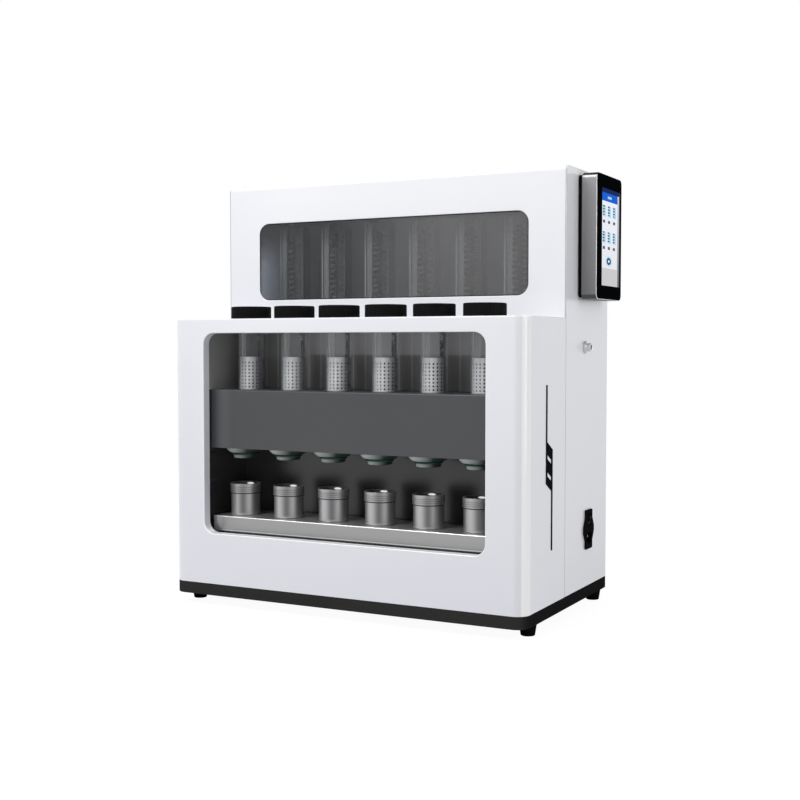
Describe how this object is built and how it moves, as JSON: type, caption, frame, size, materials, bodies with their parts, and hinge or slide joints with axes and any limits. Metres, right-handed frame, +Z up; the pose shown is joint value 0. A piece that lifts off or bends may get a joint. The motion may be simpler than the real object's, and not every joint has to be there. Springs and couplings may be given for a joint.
{
  "type": "fat analyzer",
  "caption": "Bench extraction analyser: glass chambers over a lifting hot plate with metal cups, coil condensers behind a tower window, and a side touch screen",
  "frame": {"origin": "on the bench, under the middle of the object's bounding box", "axes": "X to the right seen from the front, Y from the front to the rear, Z up"},
  "size_m": [0.642, 0.384, 0.6853],
  "materials": {
    "shell_white": "bluish white powder coat",
    "base_black": "near-black powder coat",
    "chamber_black": "dark grey coat",
    "tinted_pane": "grey tinted pane",
    "clear_glass": "clear laboratory glass",
    "cup_steel": "satin turned",
    "basket_steel": "perforated sheet",
    "cap_black": "moulded, ribbed",
    "seal_pale": "pale grey-green, turned",
    "seal_green": "dark green rubber",
    "plate_grey": "satin plate",
    "mat_orange": "silicone sheet",
    "ground_steel": "ground",
    "bronze": "turned",
    "frame_aluminium": "milled",
    "motor_black": "black",
    "manifold_grey": "machined",
    "screen_grey": "satin grey",
    "screen_black": "black front with a display",
    "fitting_black": "moulded",
    "foot_rubber": "soft black",
    "fitting_metal": "plated",
    "stripe_black": "inlay",
    "board_green": "lacquered board"
  },
  "bodies": {
    "cabinet": {"base_tray": "base_black", "feet": "foot_rubber", "front_shell": "shell_white", "side_panel_left": "shell_white", "side_panel_right": "shell_white", "tower_shell": "shell_white", "tower_window": "tinted_pane", "rear_cover": "shell_white", "cover_screws": "fitting_metal", "chamber_liner": "chamber_black", "beam_cover": "chamber_black", "chamber_block": "frame_aluminium", "seal_flanges": "seal_pale", "seal_gaskets": "seal_green", "seal_plugs": "seal_pale", "glass_chambers": "clear_glass", "vapour_tubes": "clear_glass", "guide_rods": "ground_steel", "lift_frame": "frame_aluminium", "lift_motor": "motor_black", "condenser_shelf": "frame_aluminium", "water_manifold": "manifold_grey", "condenser_jackets": "clear_glass", "condenser_cores": "clear_glass", "hose_barbs": "fitting_metal", "vent_spigot": "fitting_metal", "spigot_nut": "fitting_metal", "power_inlet": "fitting_black", "screen_bracket": "fitting_black", "screen_housing": "screen_grey", "screen_glass": "screen_black", "side_stripe": "stripe_black", "power_supply": "frame_aluminium", "control_board": "board_green"},
    "heated_lift": {"hot_plate": "plate_grey", "heater_mat": "mat_orange", "lift_carriage": "frame_aluminium", "lead_nut": "bronze"},
    "screw": {"lead_screw": "ground_steel"},
    "rocker": {"power_rocker": "fitting_black"},
    "cup_1": {"cup_1": "cup_steel"},
    "basket_1": {"basket_1": "basket_steel"},
    "cap_1": {"cap_1": "cap_black"},
    "cup_2": {"cup_2": "cup_steel"},
    "basket_2": {"basket_2": "basket_steel"},
    "cap_2": {"cap_2": "cap_black"},
    "cup_3": {"cup_3": "cup_steel"},
    "basket_3": {"basket_3": "basket_steel"},
    "cap_3": {"cap_3": "cap_black"},
    "cup_4": {"cup_4": "cup_steel"},
    "basket_4": {"basket_4": "basket_steel"},
    "cap_4": {"cap_4": "cap_black"},
    "cup_5": {"cup_5": "cup_steel"},
    "basket_5": {"basket_5": "basket_steel"},
    "cap_5": {"cap_5": "cap_black"},
    "cup_6": {"cup_6": "cup_steel"},
    "basket_6": {"basket_6": "basket_steel"},
    "cap_6": {"cap_6": "cap_black"}
  },
  "joints": [
    {"name": "hot_plate_lift", "type": "slide", "parent": "cabinet", "child": "heated_lift", "axis": [0, 0, 1], "range_m": [0, 0.0501]},
    {"name": "lead_screw_turn", "type": "hinge", "parent": "cabinet", "child": "screw", "pos_m": [-0.016, -0.0315, 0.12], "axis": [0, 0, -1], "range_deg": [0, 2255]},
    {"name": "power_rocker_tilt", "type": "hinge", "parent": "cabinet", "child": "rocker", "pos_m": [0.2875, 0.073, 0.1418], "axis": [0, -1, 0], "range_deg": [0, 24]},
    {"name": "cup_1_pull", "type": "slide", "parent": "heated_lift", "child": "cup_1", "axis": [0, -1, 0], "range_m": [0, 0.105]},
    {"name": "basket_1_lift", "type": "slide", "parent": "cabinet", "child": "basket_1", "axis": [0, 0, 1], "range_m": [0, 0.19]},
    {"name": "cap_1_turn", "type": "hinge", "parent": "basket_1", "child": "cap_1", "pos_m": [-0.2235, -0.1105, 0.468], "axis": [0, 0, 1], "range_deg": [0, 540]},
    {"name": "cup_2_pull", "type": "slide", "parent": "heated_lift", "child": "cup_2", "axis": [0, -1, 0], "range_m": [0, 0.105]},
    {"name": "basket_2_lift", "type": "slide", "parent": "cabinet", "child": "basket_2", "axis": [0, 0, 1], "range_m": [0, 0.19]},
    {"name": "cap_2_turn", "type": "hinge", "parent": "basket_2", "child": "cap_2", "pos_m": [-0.1405, -0.1105, 0.468], "axis": [0, 0, 1], "range_deg": [0, 540]},
    {"name": "cup_3_pull", "type": "slide", "parent": "heated_lift", "child": "cup_3", "axis": [0, -1, 0], "range_m": [0, 0.105]},
    {"name": "basket_3_lift", "type": "slide", "parent": "cabinet", "child": "basket_3", "axis": [0, 0, 1], "range_m": [0, 0.19]},
    {"name": "cap_3_turn", "type": "hinge", "parent": "basket_3", "child": "cap_3", "pos_m": [-0.0575, -0.1105, 0.468], "axis": [0, 0, 1], "range_deg": [0, 540]},
    {"name": "cup_4_pull", "type": "slide", "parent": "heated_lift", "child": "cup_4", "axis": [0, -1, 0], "range_m": [0, 0.105]},
    {"name": "basket_4_lift", "type": "slide", "parent": "cabinet", "child": "basket_4", "axis": [0, 0, 1], "range_m": [0, 0.19]},
    {"name": "cap_4_turn", "type": "hinge", "parent": "basket_4", "child": "cap_4", "pos_m": [0.0255, -0.1105, 0.468], "axis": [0, 0, 1], "range_deg": [0, 540]},
    {"name": "cup_5_pull", "type": "slide", "parent": "heated_lift", "child": "cup_5", "axis": [0, -1, 0], "range_m": [0, 0.105]},
    {"name": "basket_5_lift", "type": "slide", "parent": "cabinet", "child": "basket_5", "axis": [0, 0, 1], "range_m": [0, 0.19]},
    {"name": "cap_5_turn", "type": "hinge", "parent": "basket_5", "child": "cap_5", "pos_m": [0.1085, -0.1105, 0.468], "axis": [0, 0, 1], "range_deg": [0, 540]},
    {"name": "cup_6_pull", "type": "slide", "parent": "heated_lift", "child": "cup_6", "axis": [0, -1, 0], "range_m": [0, 0.105]},
    {"name": "basket_6_lift", "type": "slide", "parent": "cabinet", "child": "basket_6", "axis": [0, 0, 1], "range_m": [0, 0.19]},
    {"name": "cap_6_turn", "type": "hinge", "parent": "basket_6", "child": "cap_6", "pos_m": [0.1915, -0.1105, 0.468], "axis": [0, 0, 1], "range_deg": [0, 540]}
  ],
  "couplings": [
    {"joint": "lead_screw_turn", "follows": "hot_plate_lift", "rad_per_m": 785.4}
  ]
}
